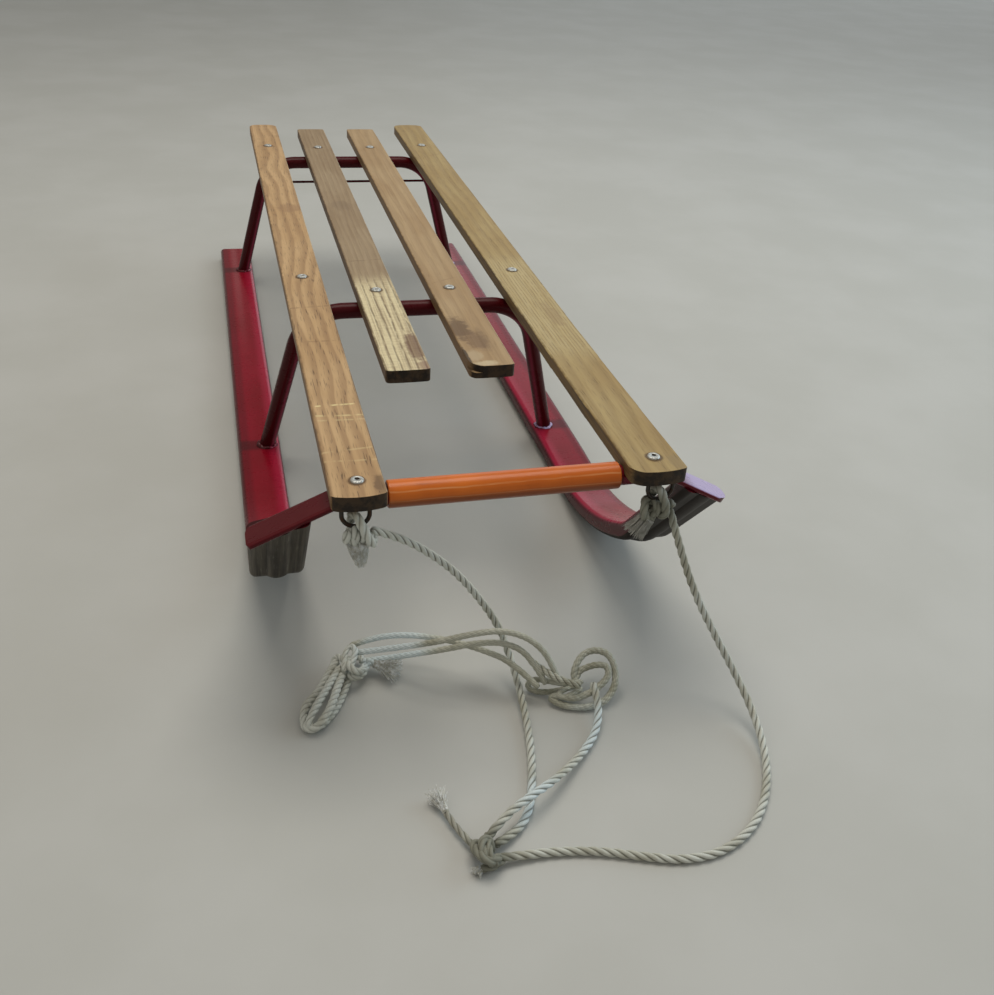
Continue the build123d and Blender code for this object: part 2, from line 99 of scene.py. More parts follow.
# %% [markdown]
# ## Shader maths in words
# A finish is a tree of nodes, and a long tree is hard to read as code. `Shade` wraps one
# socket and lets plain arithmetic add the Math nodes. `Finish` owns the tree, and its
# one `node` method makes every other kind: the settings go in first, because some of
# them change which sockets there are, and then the values or links.

# %% Shade


class Shade:
    """One socket of a finish, for sums written as they are on paper."""

    def __init__(self, finish, socket):
        self.finish = finish
        self.socket = socket

    def maths(self, operation, *values):
        settings = {"operation": operation}
        return self.finish.node("ShaderNodeMath", settings, dict(enumerate(values)))

    def __add__(self, other):
        return self.maths("ADD", self, other)

    def __sub__(self, other):
        return self.maths("SUBTRACT", self, other)

    def __rsub__(self, other):
        return self.maths("SUBTRACT", other, self)

    def __mul__(self, other):
        return self.maths("MULTIPLY", self, other)

    def __truediv__(self, other):
        return self.maths("DIVIDE", self, other)

    def __neg__(self):
        return self.maths("MULTIPLY", self, -1.0)

    __radd__ = __add__
    __rmul__ = __mul__

    def size(self):
        return self.maths("ABSOLUTE", self)

    def sign(self):
        return self.maths("SIGN", self)

    def wave(self):
        return self.maths("SINE", self)

    def most(self, other):
        return self.maths("MAXIMUM", self, other)

    def repeat(self):
        """A ramp from 0 to 1 in each unit."""
        return self.maths("FRACT", self)

    def step(self, low, high):
        """0 below low, 1 above high, smooth between. low may be the larger one."""
        settings = {"interpolation_type": "SMOOTHSTEP"}
        return self.finish.node("ShaderNodeMapRange", settings, {0: self, 1: low, 2: high})


# %% Finish


class Finish:
    """A material in the making."""

    def __init__(self, name, plain=None):
        self.material = bpy.data.materials.new(name)
        self.material.use_nodes = True
        self.tree = self.material.node_tree
        self.shader = self.tree.nodes["Principled BSDF"]
        for socket, value in (plain or {}).items():
            self.shader.inputs[socket].default_value = value

    def node(self, kind, settings=None, sockets=None, out=0):
        made = self.tree.nodes.new(kind)
        for key, value in (settings or {}).items():
            setattr(made, key, value)
        for key, value in (sockets or {}).items():
            if isinstance(value, Shade):
                self.tree.links.new(value.socket, made.inputs[key])
            elif hasattr(value, "__len__") and len(made.inputs[key].default_value) == 4:
                made.inputs[key].default_value = (*value, 1.0)
            else:
                made.inputs[key].default_value = value
        return Shade(self, made.outputs[out])

    def place(self):
        """Object coordinates: the place on the piece in metres."""
        return self.node("ShaderNodeTexCoord", out="Object")

    def facing(self):
        """The way that the surface faces."""
        return self.node("ShaderNodeTexCoord", out="Normal")

    def axis(self, vector, letter):
        return self.node("ShaderNodeSeparateXYZ", sockets={0: vector}, out=letter)

    def stretch(self, vector, factors):
        return self.node("ShaderNodeVectorMath", {"operation": "MULTIPLY"}, {0: vector, 1: factors})

    def shift(self, vector, other):
        return self.node("ShaderNodeVectorMath", {"operation": "ADD"}, {0: vector, 1: other})

    def reach(self, vector, spot, scales=(1.0, 1.0, 1.0)):
        """How far a place is from a spot, with each axis counted by its scale."""
        off = self.stretch(self.shift(vector, tuple(-part for part in spot)), scales)
        return self.node("ShaderNodeVectorMath", {"operation": "LENGTH"}, {0: off}, out="Value")

    def speckle(self, vector, scale, detail=3.0, rough=0.55):
        sockets = {"Vector": vector, "Scale": scale, "Detail": detail, "Roughness": rough}
        return self.node("ShaderNodeTexNoise", sockets=sockets)

    def grain(self, vector, scales, detail=3.0, rough=0.55):
        """Noise drawn out along the axes whose scale is small."""
        return self.speckle(self.stretch(vector, scales), 1.0, detail, rough)

    def mix(self, factor, first, second):
        """Two colours, by a factor."""
        sockets = {0: factor, 6: first, 7: second}
        return self.node("ShaderNodeMix", {"data_type": "RGBA"}, sockets, out=2)

    def bump(self, height, strength, distance):
        sockets = {"Strength": strength, "Distance": distance, "Height": height}
        return self.node("ShaderNodeBump", sockets=sockets)

    def feed(self, **links):
        """Links the shader's own sockets, such as base_color or roughness."""
        for socket, value in links.items():
            self.tree.links.new(value.socket, self.shader.inputs[socket.replace("_", " ").title()])
        return self.material


# %% [markdown]
# ## Room: floor and light
# A plain pale floor catches the soft shadows. In the photograph cool daylight comes in
# through a wide opening on the right and from behind, so one very large lamp stands there
# and a smaller one beside the nose. A warm one hangs overhead, a weak one fills from the
# left, and the world gives the even light of a room. No lamp is seen by the camera.

# %% Floor
FLOOR_SIZE = 60.0
ground = bmesh.new()
bmesh.ops.create_grid(ground, x_segments=1, y_segments=1, size=FLOOR_SIZE / 2)
floor_finish = Finish("pale_floor", {"Roughness": 0.62})
cloud = floor_finish.speckle(floor_finish.place(), 5.0, 5.0)
floor_tone = floor_finish.mix(cloud.step(0.35, 0.7), (0.500, 0.500, 0.475), (0.535, 0.535, 0.515))
show("floor", ground, floor_finish.feed(base_color=floor_tone))

# %% Lamps and world


def lamp(name, place, target, size, watts, colour):
    """A square soft light that looks at a target."""
    light = bpy.data.lights.new(name, "AREA")
    light.shape = "RECTANGLE"
    light.size, light.size_y = size
    light.energy = watts
    light.color = colour
    holder = bpy.data.objects.new(name, light)
    aim = (Vector(target) - Vector(place)).to_track_quat("-Z", "Y")
    holder.matrix_world = Matrix.Translation(place) @ aim.to_matrix().to_4x4()
    holder.visible_camera = False
    scene.collection.objects.link(holder)


lamp("opening", (6.8, 6.0, 3.1), (0.1, -0.1, 0.3), (14.0, 6.0), 205.0, (0.80, 0.92, 1.0))
lamp("right_side", (2.6, -0.4, 1.2), (0.1, -0.1, 0.1), (1.8, 1.8), 20.0, (0.66, 0.86, 1.0))
lamp("room_fill", (-1.9, -1.2, 1.9), (0.0, -0.2, 0.1), (1.6, 1.6), 4.0, (1.0, 0.93, 0.82))
lamp("ceiling", (0.1, 0.3, 2.6), (0.0, -0.1, 0.0), (2.0, 1.4), 34.0, (1.0, 0.95, 0.85))
world = bpy.data.worlds.new("room")
world.use_nodes = True
world.node_tree.nodes["Background"].inputs["Color"].default_value = (0.84, 0.82, 0.76, 1.0)
world.node_tree.nodes["Background"].inputs["Strength"].default_value = 0.34
scene.world = world
scene.view_settings.view_transform = "Standard"
print(len(bpy.data.lights), "lamps")

# %% [markdown]
# ## Worn wood
# Each slat shows another face of the same kind of plank: broad bands that sway along the
# first, raw pale wood with dark grooves at the front of the second, a plain tan third with
# a broken corner, a fine-grained fourth. So one recipe draws the bands as a smooth field
# of the place across the slat, pushed sideways by slow noise, and a table gives each slat
# its tones, its raw stretch, its stains and its scratches. Sides and ends are dark, partly
# from their own grain and partly by painted shade, and the right edge of each top gets a
# painted highlight.

# %% Rivet places
DECK_TOP = 0.187
NOSE_TOP = 0.1906
OUTER_X = 0.1037
INNER_LEFT_X = -0.0389
INNER_RIGHT_X = 0.0310
# Each rivet: word, place across, place along, height, hollow or not
rivet_table = [
    ("front_left", -0.1030, -0.479, NOSE_TOP, True),
    ("front_right", 0.1050, -0.479, NOSE_TOP, True),
    ("middle_left", -OUTER_X, -0.0995, DECK_TOP, False),
    ("middle_right", OUTER_X, -0.0995, DECK_TOP, False),
    ("middle_inner_left", INNER_LEFT_X, -0.140, DECK_TOP, False),
    ("middle_inner_right", INNER_RIGHT_X, -0.140, DECK_TOP, False),
    ("rear_left", -OUTER_X, 0.384, DECK_TOP, False),
    ("rear_right", OUTER_X, 0.384, DECK_TOP, False),
    ("rear_inner_left", INNER_LEFT_X, 0.375, DECK_TOP, False),
    ("rear_inner_right", INNER_RIGHT_X, 0.375, DECK_TOP, False),
]
print(len(rivet_table), "rivets")

# %% Wood finish
RIVET_RING_TONE = (0.085, 0.045, 0.020)
PORE = (0.085, 0.048, 0.022)
# lighter tone of the painted highlight along the right edge of each top
RIGHT_EDGE_HIGHLIGHT = (0.72, 0.60, 0.38)
# end grain, darkened further by painted shade
END_GRAIN_AND_SHADE = (0.052, 0.030, 0.014), (0.015, 0.009, 0.005)
RIVET_RING_REACH = 0.0074, 0.0054      # where the darker ring round a rivet ends and is full
SAME_SLAT = 0.01                # a rivet nearer than this to the middle is the slat's own


def wood_finish(name, centre_x, half, tones, figure, raw, stains, scratches):
    """One slat's wood. figure is the bands' gap, sway, seed, strength and pores."""
    light, middle, dark, edge = tones
    gap, sway_size, seed, strength, pore_share = figure
    finish = Finish(name, {"Specular IOR Level": 0.3})
    place = finish.place()
    x, y, z = (finish.axis(place, letter) for letter in "XYZ")
    moved = finish.shift(place, (seed * 1.3, seed * 0.7, 0.0))
    sway = finish.grain(moved, (7.0, 3.2, 7.0), 2.0, 0.45) - 0.5
    ripple = finish.grain(moved, (60.0, 16.0, 60.0)) - 0.5
    lines = (x + z * 0.6 + sway * sway_size + ripple * 0.005) / gap
    band = lines.repeat()
    late = band.step(0.12, 0.74) * band.step(1.0, 0.82)
    fine = finish.grain(moved, (520.0, 11.0, 520.0), 3.0, 0.6)
    pores = finish.grain(moved, (1150.0, 55.0, 1150.0), 1.5, 0.5)
    pore = pores.step(0.60, 0.69) * (late * 0.5 + 0.5) * pore_share
    patches = finish.grain(moved, (26.0, 8.0, 26.0))
    ragged = finish.speckle(moved, 130.0, 4.0, 0.6)
    body = finish.mix(patches.step(0.36, 0.64), light, middle)
    body = finish.mix(late * strength, body, dark)
    body = finish.mix(fine.step(0.45, 0.75) * 0.30, body, dark)
    body = finish.mix(pore, body, PORE)
    relief = fine * -0.35 - pore * 0.8 - late * 0.3
    if raw:
        start, end, pale, ink, groove_gap, share = raw
        zone = y.step(end, end - 0.10) * y.step(start - 0.10, start)
        zone = (zone * 1.25 + (patches - 0.5) * 0.4 + (fine - 0.5) * 1.1).step(0.20, 0.95) * share
        saw = finish.grain(moved, (120.0, 1100.0, 120.0), 2.0)
        grooves = (x + sway * 0.006 + ripple * 0.003) / groove_gap
        groove = (grooves.repeat() - 0.5).size().step(0.20, 0.06)
        groove = groove * finish.grain(moved, (300.0, 60.0, 300.0), 2.0).step(0.30, 0.55)
        bare = finish.mix(saw.step(0.42, 0.62) * 0.25 + fine.step(0.42, 0.60) * 0.45, pale, light)
        bare = finish.mix(groove * 0.62, bare, ink)
        body = finish.mix(zone, body, bare)
        relief = relief - groove * zone * 1.5 + saw * zone * 0.7
    for spot_x, spot_y, wide, long, tone, share in stains:
        reach = finish.reach(place, (spot_x, spot_y, 0.0), (1 / wide, 1 / long, 0.0))
        spread = (reach + (ragged - 0.5) * 1.1).step(1.05, 0.55)
        body = finish.mix(spread * share, body, tone)
    for line_y, tilt, tone, share in scratches:
        off = (y - line_y - (x - centre_x) * tilt + ripple * 0.003).size()
        breaks = finish.grain(moved, (150.0, 20.0, 1.0), 2.0).step(0.40, 0.56)
        body = finish.mix(off.step(0.0016, 0.0005) * breaks * share, body, tone)
    # The wood is darker in a ring round each rivet of the slat.
    for _, rivet_x, rivet_y, _, _ in rivet_table:
        if abs(rivet_x - centre_x) < SAME_SLAT:
            reach = finish.reach(place, (rivet_x, rivet_y, 0.0), (1.0, 1.0, 0.0))
            ring = (reach + (ragged - 0.5) * 0.003).step(*RIVET_RING_REACH)
            body = finish.mix(ring * 0.8, body, RIVET_RING_TONE)
    across = (x - centre_x) / half
    rim = across.size().step(0.88, 0.985)
    body = finish.mix(rim * ragged.step(0.38, 0.60) * 0.55, body, edge)
    # Painted highlight along the right edge of the top, where the rounding faces the light.
    right_edge_highlight = across.step(0.93, 0.99) * fine.step(0.60, 0.42)
    body = finish.mix(right_edge_highlight * 0.55, body, RIGHT_EDGE_HIGHLIGHT)
    # Sides and ends are darker than the top: partly their own grain and edge, partly painted shade.
    facing = finish.facing()
    top = finish.axis(facing, "Z").step(0.30, 0.75)
    end_face = finish.axis(facing, "Y").size().step(0.4, 0.7)
    side_tone_and_shade = finish.mix(fine.step(0.35, 0.65), edge, dark)
    end_tone_and_shade = finish.mix(ragged.step(0.40, 0.62), *END_GRAIN_AND_SHADE)
    body = finish.mix(top, finish.mix(end_face, side_tone_and_shade, end_tone_and_shade), body)
    rough = finish.node("ShaderNodeMapRange", sockets={0: fine, 3: 0.40, 4: 0.66})
    return finish.feed(base_color=body, roughness=rough, normal=finish.bump(relief, 0.32, 0.0007))


# %% Slats
# Tones of a kind of plank: early wood twice, late wood, edge
HONEY = ((0.585, 0.385, 0.200), (0.515, 0.325, 0.160), (0.290, 0.165, 0.080), (0.170, 0.098, 0.038))
GREYED = ((0.370, 0.270, 0.165), (0.310, 0.215, 0.125), (0.170, 0.110, 0.060), (0.110, 0.065, 0.032))
TAN = ((0.455, 0.315, 0.170), (0.400, 0.262, 0.132), (0.235, 0.145, 0.070), (0.165, 0.095, 0.038))
OCHRE = ((0.430, 0.312, 0.135), (0.375, 0.256, 0.100), (0.215, 0.135, 0.055), (0.105, 0.065, 0.030))
PALE = (0.780, 0.670, 0.420)
INK = (0.105, 0.062, 0.030)
# Each slat: piece, centre across, half width, tones, figure,
#   raw stretch (start, end, tone, ink, groove gap, share),
#   stains (across, along, half width, half length, tone, share),
#   scratches (along, tilt, tone, share)
slat_table = [
    ("slat_outer_left", -OUTER_X, 0.0185, HONEY, (0.0110, 0.085, 1.0, 0.55, 0.70), None, (
        (-0.098, 0.115, 0.016, 0.018, (0.30, 0.17, 0.09), 0.5),
        (-0.088, -0.485, 0.006, 0.014, (0.10, 0.055, 0.03), 0.6),
    ), (
        (-0.368, 0.05, (0.80, 0.66, 0.34), 0.9), (-0.385, -0.06, (0.72, 0.58, 0.30), 0.7),
        (-0.392, -0.04, (0.66, 0.52, 0.28), 0.5), (-0.437, 0.10, (0.66, 0.50, 0.26), 0.5),
        (-0.452, -0.05, (0.66, 0.50, 0.26), 0.45), (-0.250, 0.0, (0.22, 0.12, 0.06), 0.5),
        (-0.175, 0.08, (0.20, 0.11, 0.055), 0.5),
    )),
    ("slat_inner_left", INNER_LEFT_X, 0.0185, GREYED, (0.0062, 0.020, 2.0, 0.22, 0.25),
     (-0.300, -0.065, PALE, INK, 0.0066, 0.95), (
        (-0.025, -0.268, 0.010, 0.034, (0.16, 0.075, 0.045), 0.75),
        (-0.022, -0.305, 0.010, 0.012, (0.20, 0.09, 0.07), 0.6),
        (-0.0389, 0.120, 0.014, 0.020, (0.19, 0.13, 0.08), 0.35),
    ), ((-0.060, 0.1, (0.16, 0.10, 0.055), 0.4),)),
    ("slat_inner_right", INNER_RIGHT_X, 0.019, TAN, (0.0110, 0.030, 3.0, 0.25, 0.18), None, (
        (0.0190, -0.236, 0.011, 0.030, (0.150, 0.088, 0.045), 0.85),
        (0.0285, -0.262, 0.010, 0.022, (0.200, 0.118, 0.060), 0.75),
        (0.0205, -0.292, 0.008, 0.013, (0.50, 0.39, 0.25), 0.6),
        (0.0270, -0.308, 0.012, 0.006, (0.62, 0.51, 0.33), 0.7),
        (0.0350, -0.262, 0.005, 0.030, (0.190, 0.115, 0.060), 0.5),
        (0.0130, -0.296, 0.0025, 0.026, (0.060, 0.038, 0.024), 0.9),
    ), ((-0.120, 0.5, (0.25, 0.15, 0.08), 0.35),)),
    ("slat_outer_right", OUTER_X, 0.0205, OCHRE, (0.0120, 0.040, 4.0, 0.30, 0.45),
     (-0.250, -0.020, (0.560, 0.460, 0.250), (0.170, 0.110, 0.050), 0.0030, 0.60), (
        (0.1120, -0.215, 0.008, 0.030, (0.30, 0.20, 0.10), 0.45),
        (0.1195, -0.488, 0.007, 0.013, (0.26, 0.19, 0.10), 0.45),
    ), ((0.330, 0.6, (0.24, 0.14, 0.06), 0.5),)),
]
for node, *facts in slat_table:
    wood = wood_finish(f"{node}_wood", *facts)
    dress(wood, node)
    print(node, "has", len(wood.node_tree.nodes), "nodes")

# %% [markdown]
# ## Enamel, bare steel and the grip
# Runners, arches and cross tube are enamelled red, by one recipe with a depth of colour
# for each, and the arches' much darker red is painted shade. The paint is glossy, a little
# uneven, dusty on top and chipped, with a painted highlight on the shoulder that faces the
# middle and painted shade on the outer one, on the sides and on faces turned from up. The
# cross tube's right end and the welds there get a painted lilac reflection of the sky. The
# runners' soles have lost their paint and show brown steel with marks along the run, so
# the finish asks which way the surface faces. On top the runners get a painted highlight
# along the inner edge, a streak of painted reflection at the rear, painted shade along the
# outer edge, a painted shadow beside the arches' feet and painted shade at the curl's end.

# %% Enamel finish
RUNNER_X = 0.155
RUNNER_TOP = 0.016
FOOT_X = 0.147
FOOT_FRONT_Y = -0.115
FOOT_REAR_Y = 0.386
CURL_SHADE_HEIGHTS = 0.112, 0.130         # heights where the painted shade at the curl's end begins and is full

SHOULDER_HIGHLIGHT = (0.50, 0.045, 0.110)
INNER_EDGE_HIGHLIGHT = (0.50, 0.030, 0.075)
REFLECTED_STREAK = (0.42, 0.13, 0.14)
INNER_SIDE_SHADE = (0.045, 0.003, 0.005)
OUTER_SIDE_SHADE = (0.050, 0.006, 0.006)
OUTER_EDGE_SHADE = (0.085, 0.006, 0.010)
UNDERSIDE_SHADE = (0.055, 0.003, 0.005)
DUST = (0.26, 0.07, 0.06)
FOOT_SHADOW = (0.055, 0.008, 0.010)
CURL_END_SHADE = (0.030, 0.004, 0.004)
SKY_REFLECTION = (0.60, 0.52, 0.84)
CHIP_STEEL = (0.060, 0.038, 0.024), (0.025, 0.018, 0.012)
SOLE_STEEL = (0.034, 0.027, 0.018), (0.115, 0.098, 0.072)
SCRAPED_STEEL = (0.20, 0.18, 0.15)
RIGHT_SOLE = (0.014, 0.008, 0.005)


def enamel_finish(
    name, deep, bright, sole=False, chips=0.35, gloss=0.22, coat=0.16, shine=0.22, painted_reflection=False
):
    """Red enamel with painted highlight and shade. sole adds a runner's bare steel and painted
    light, painted_reflection a painted reflection at the right end.
    """
    finish = Finish(name, {"Coat Roughness": 0.12, "Specular IOR Level": shine})
    place = finish.place()
    x, y, z = (finish.axis(place, letter) for letter in "XYZ")
    facing = finish.facing()
    upward = finish.axis(facing, "Z")
    outward = finish.axis(facing, "X") * x.sign()
    inward = -outward
    cloud = finish.speckle(place, 11.0, 3.0)
    paint = finish.mix(cloud.step(0.3, 0.7), deep, bright)
    dust = finish.speckle(place, 60.0, 5.0, 0.65)
    for share, tone in (
        # painted highlight on the shoulder that faces the middle
        (inward.step(0.15, 0.50) * 0.75, SHOULDER_HIGHLIGHT),
        # painted shade on the inner side
        (inward.step(0.50, 0.85) * 0.80, INNER_SIDE_SHADE),
        # painted shade on the outer shoulder and side
        (outward.step(0.18, 0.60) * 0.78, OUTER_SIDE_SHADE),
        (upward.step(0.2, 1.0) * dust.step(0.45, 0.8) * 0.07, DUST),
        # painted shade on faces that turn from up
        (upward.step(0.75, 0.15) * 0.55, UNDERSIDE_SHADE),
    ):
        paint = finish.mix(share, paint, tone)
    # painted lilac reflection of the sky on the upper faces at the right end
    if painted_reflection:
        paint = finish.mix(x.step(0.118, 0.142) * upward.step(0.40, 0.70) * 0.72, paint, SKY_REFLECTION)
    flaw = finish.speckle(place, 210.0, 4.0, 0.7)
    chip = flaw.step(0.70, 0.73) * chips
    paint = finish.mix(chip, paint, finish.mix(flaw, *CHIP_STEEL))
    rough = dust * 0.12 + gloss + chip * 0.4
    relief = finish.speckle(place, 90.0, 2.0) * 0.03 - chip * 0.5
    coated = (1 - chip) * coat
    if sole:
        streaks = finish.grain(place, (330.0, 6.0, 6.0), 4.0, 0.6)
        scrape = finish.grain(place, (900.0, 30.0, 30.0), 2.0)
        worn = (-upward + (cloud - 0.5) * 0.25 + (flaw - 0.5) * 0.2).step(0.22, 0.38)
        worn = worn.most(finish.axis(facing, "Y").step(-0.10, -0.25))
        bare = finish.mix(streaks.step(0.35, 0.68), *SOLE_STEEL)
        bare = finish.mix(scrape.step(0.60, 0.72) * 0.5, bare, SCRAPED_STEEL)
        bare = finish.mix(x.step(0.0, 0.1) * 0.9, bare, RIGHT_SOLE)
        across = x.size() - RUNNER_X
        front = (y - FOOT_FRONT_Y).size().step(0.013, 0.006)
        rear = (y - FOOT_REAR_Y).size().step(0.013, 0.006)
        feet = front.most(rear)
        for share, tone in (
            # painted shade along the outer edge of the top
            ((across + (cloud - 0.5) * 0.006).step(0.007, 0.013) * 0.45, OUTER_EDGE_SHADE),
            # painted highlight along the inner edge of the top
            (across.step(-0.006, -0.016) * upward.step(0.45, 0.90) * 0.62, INNER_EDGE_HIGHLIGHT),
            # a streak of painted reflection along the rear of the top
            ((across - 0.003).size().step(0.007, 0.001) * y.step(0.05, 0.40) * 0.34, REFLECTED_STREAK),
            # painted shadow of the arch's foot beside it on the top
            (feet * across.step(-0.014, -0.004) * upward.step(0.5, 0.9) * 0.60, FOOT_SHADOW),
            # painted shade on the curl's end, under the strap
            (z.step(*CURL_SHADE_HEIGHTS) * 0.85, CURL_END_SHADE),
            (worn, bare),
        ):
            paint = finish.mix(share, paint, tone)
        rough = rough + worn * 0.26
        relief = relief - worn * streaks * 0.5
        metal = worn * 0.55
        coated = (1 - metal * 1.8) * coat
        finish.feed(metallic=metal)
    normal = finish.bump(relief, 0.25, 0.0008)
    return finish.feed(base_color=paint, roughness=rough, normal=normal, coat_weight=coated)


runner_enamel = enamel_finish(
    "runner_enamel", (0.235, 0.003, 0.012), (0.310, 0.005, 0.022), sole=True, coat=0.10, shine=0.12
)
# The arches' paint is the runners' red, darkened here as painted shade.
arch_enamel_shaded = enamel_finish(
    "arch_enamel_shaded", (0.060, 0.003, 0.005), (0.085, 0.004, 0.008), coat=0.04, shine=0.12
)
bridge_enamel = enamel_finish(
    "bridge_enamel", (0.120, 0.003, 0.008), (0.170, 0.005, 0.013), chips=0.6, coat=0.10, shine=0.18,
    painted_reflection=True,
)
dress(runner_enamel, "runner_left", "runner_right")
dress(arch_enamel_shaded, *(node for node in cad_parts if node.startswith(("arch_", "tie_", "lug_"))))
dress(bridge_enamel, "bridge_tube")
for enamel in (runner_enamel, arch_enamel_shaded, bridge_enamel):
    print(enamel.name, "has", len(enamel.node_tree.nodes), "nodes")

# %% [markdown]
# The grip is a smooth orange tube of vinyl, scuffed along its top where feet rest. Two
# pale lines along it are painted highlights and its underside gets painted shade. The eyes
# are dark iron wire.

# %% Grip and wire
grip = Finish("grip_vinyl", {"Coat Weight": 0.14, "Coat Roughness": 0.12, "Specular IOR Level": 0.3})
grip_place = grip.place()
scuffs = grip.grain(grip_place, (14.0, 200.0, 200.0), 4.0, 0.6)
grip_cloud = grip.speckle(grip_place, 22.0, 3.0)
grip_tone = grip.mix(grip_cloud.step(0.3, 0.7), (0.600, 0.128, 0.011), (0.730, 0.172, 0.016))
grip_tone = grip.mix(scuffs.step(0.60, 0.80) * 0.5, grip_tone, (0.290, 0.065, 0.012))
grip_up = grip.axis(grip.facing(), "Z")
# Two painted highlight lines along the grip, where its surface faces the light.
grip_wave = grip_up + (grip_cloud - 0.5) * 0.35
upper_highlight = (grip_wave - 0.62).size().step(0.07, 0.02)
lower_highlight = (grip_wave + 0.02).size().step(0.06, 0.02) * 0.7
grip_highlight = upper_highlight + lower_highlight
grip_tone = grip.mix(grip_highlight * scuffs.step(0.30, 0.55) * 0.45, grip_tone, (0.90, 0.46, 0.20))
# painted shade on the underside
grip_tone = grip.mix(grip_up.step(0.22, -0.30) * 0.78, grip_tone, (0.130, 0.030, 0.006))
grip_bump = grip.bump(scuffs, 0.12, 0.0006)
grip.feed(base_color=grip_tone, roughness=scuffs * 0.22 + 0.20, normal=grip_bump)
dress(grip.material, "grip_sleeve")

wire = Finish("eye_iron", {"Metallic": 0.7})
wire_rust = wire.speckle(wire.place(), 380.0, 4.0)
wire_tone = wire.mix(wire_rust.step(0.4, 0.65), (0.050, 0.045, 0.040), (0.060, 0.030, 0.016))
wire_bump = wire.bump(wire_rust, 0.3, 0.0004)
wire.feed(base_color=wire_tone, roughness=wire_rust * 0.3 + 0.35, normal=wire_bump)
dress(wire.material, "eye_left", "eye_right")

# %% [markdown]
# ## Rivets and welds
# Each slat is held by rivets with a flat domed head. The two at the very front are
# hollow, so their heads have an open centre. The head is a disc that is extruded, given
# round edges with a bevel, and then inset and pressed down in the middle.

# %% Zinc and grime
zinc = Finish("zinc", {"Metallic": 0.6})
zinc_wear = zinc.speckle(zinc.place(), 520.0, 4.0)
zinc_tone = zinc.mix(zinc_wear.step(0.40, 0.72), (0.62, 0.63, 0.61), (0.30, 0.30, 0.28))
zinc_bump = zinc.bump(zinc_wear, 0.2, 0.0004)
zinc.feed(base_color=zinc_tone, roughness=zinc_wear * 0.35 + 0.22, normal=zinc_bump)
grime = Finish("grime", {"Roughness": 0.8})
grime_cloud = grime.speckle(grime.place(), 600.0, 3.0)
grime.feed(base_color=grime.mix(grime_cloud, (0.010, 0.008, 0.006), (0.045, 0.030, 0.018)))

# %% Rivets
RIVET_RADIUS = 4.6 * MM
RIVET_HEIGHT = 1.5 * MM
RIVET_ROUND = 0.75 * RIVET_HEIGHT
RIVET_LIP = 0.5 * MM
RIVET_SUNK = 0.1 * MM           # into the wood


def rivet(name, x, y, z, hollow):
    head = bmesh.new()
    bmesh.ops.create_circle(head, cap_ends=True, segments=40, radius=RIVET_RADIUS)
    grown = bmesh.ops.extrude_face_region(head, geom=head.faces[:])
    top = [v for v in grown["geom"] if isinstance(v, bmesh.types.BMVert)]
    bmesh.ops.translate(head, verts=top, vec=(0, 0, RIVET_HEIGHT))
    rim = [e for e in head.edges if all(v in top for v in e.verts)]
    bmesh.ops.bevel(
        head, geom=rim, affect="EDGES", offset=RIVET_ROUND, segments=4, profile=0.5, material=-1
    )
    crown = max(head.faces, key=lambda f: f.calc_center_median().z + f.calc_area())
    hole, drop = (1.15 * MM, -1.9 * MM) if hollow else (1.2 * MM, -0.5 * MM)
    flat = RIVET_RADIUS - RIVET_ROUND - hole - RIVET_LIP
    bmesh.ops.inset_region(head, faces=[crown], thickness=flat)
    bmesh.ops.translate(head, verts=crown.verts[:], vec=(0, 0, 0.25 * MM))
    bmesh.ops.inset_region(head, faces=[crown], thickness=RIVET_LIP)
    bmesh.ops.translate(head, verts=crown.verts[:], vec=(0, 0, drop))
    crown.material_index = 1
    for wall in {face for edge in crown.edges for face in edge.link_faces} if hollow else ():
        wall.material_index = 1
    bmesh.ops.translate(head, verts=head.verts[:], vec=(x, y, z))
    piece = show(name, head, zinc.material, grime.material)
    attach(piece, "root")


for word, x, y, z, hollow in rivet_table:
    rivet(f"rivet_{word}", x, y, z - RIVET_SUNK, hollow)
print(len(rivet_table), "rivets in place")

# %% [markdown]
# The arches' feet are welded on the runners. A weld bead is a ring of overlapping
# puddles, so a small circle is spun round the leg and every few steps it swells.

# %% Weld beads
WELD_RADIUS = 7.6 * MM
BEAD_RADIUS = 2.9 * MM
weld_enamel = enamel_finish(
    "weld_enamel", (0.080, 0.006, 0.010), (0.115, 0.008, 0.014), chips=0.8, gloss=0.26, painted_reflection=True
)


def weld_bead(name, x, y):
    seed = x * 40 + y * 9
    bead = bmesh.new()
    ring = bmesh.ops.create_circle(bead, segments=10, radius=BEAD_RADIUS)["verts"]
    upright = Matrix.Rotation(math.pi / 2, 3, "X")
    bmesh.ops.rotate(bead, verts=ring, cent=(0, 0, 0), matrix=upright)
    bmesh.ops.translate(bead, verts=ring, vec=(WELD_RADIUS, 0, 0))
    bmesh.ops.spin(
        bead, geom=bead.edges[:], cent=(0, 0, 0), axis=(0, 0, 1), angle=2 * math.pi, steps=56,
        use_merge=True,
    )
    bmesh.ops.remove_doubles(bead, verts=bead.verts, dist=0.01 * MM)
    for vert in bead.verts:
        angle = math.atan2(vert.co.y, vert.co.x)
        centre = Vector((WELD_RADIUS * math.cos(angle), WELD_RADIUS * math.sin(angle), 0))
        lump = noise.noise(vert.co * 260 + Vector((seed, 0, 0)))
        puddle = 0.80 + 0.26 * abs(math.sin(angle * 5.5 + seed)) + 0.45 * lump
        vert.co = centre + (vert.co - centre) * puddle
        vert.co.z *= 0.75
    bmesh.ops.recalc_face_normals(bead, faces=bead.faces)
    bmesh.ops.translate(bead, verts=bead.verts[:], vec=(x, y, RUNNER_TOP))
    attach(show(name, bead, weld_enamel), "root")


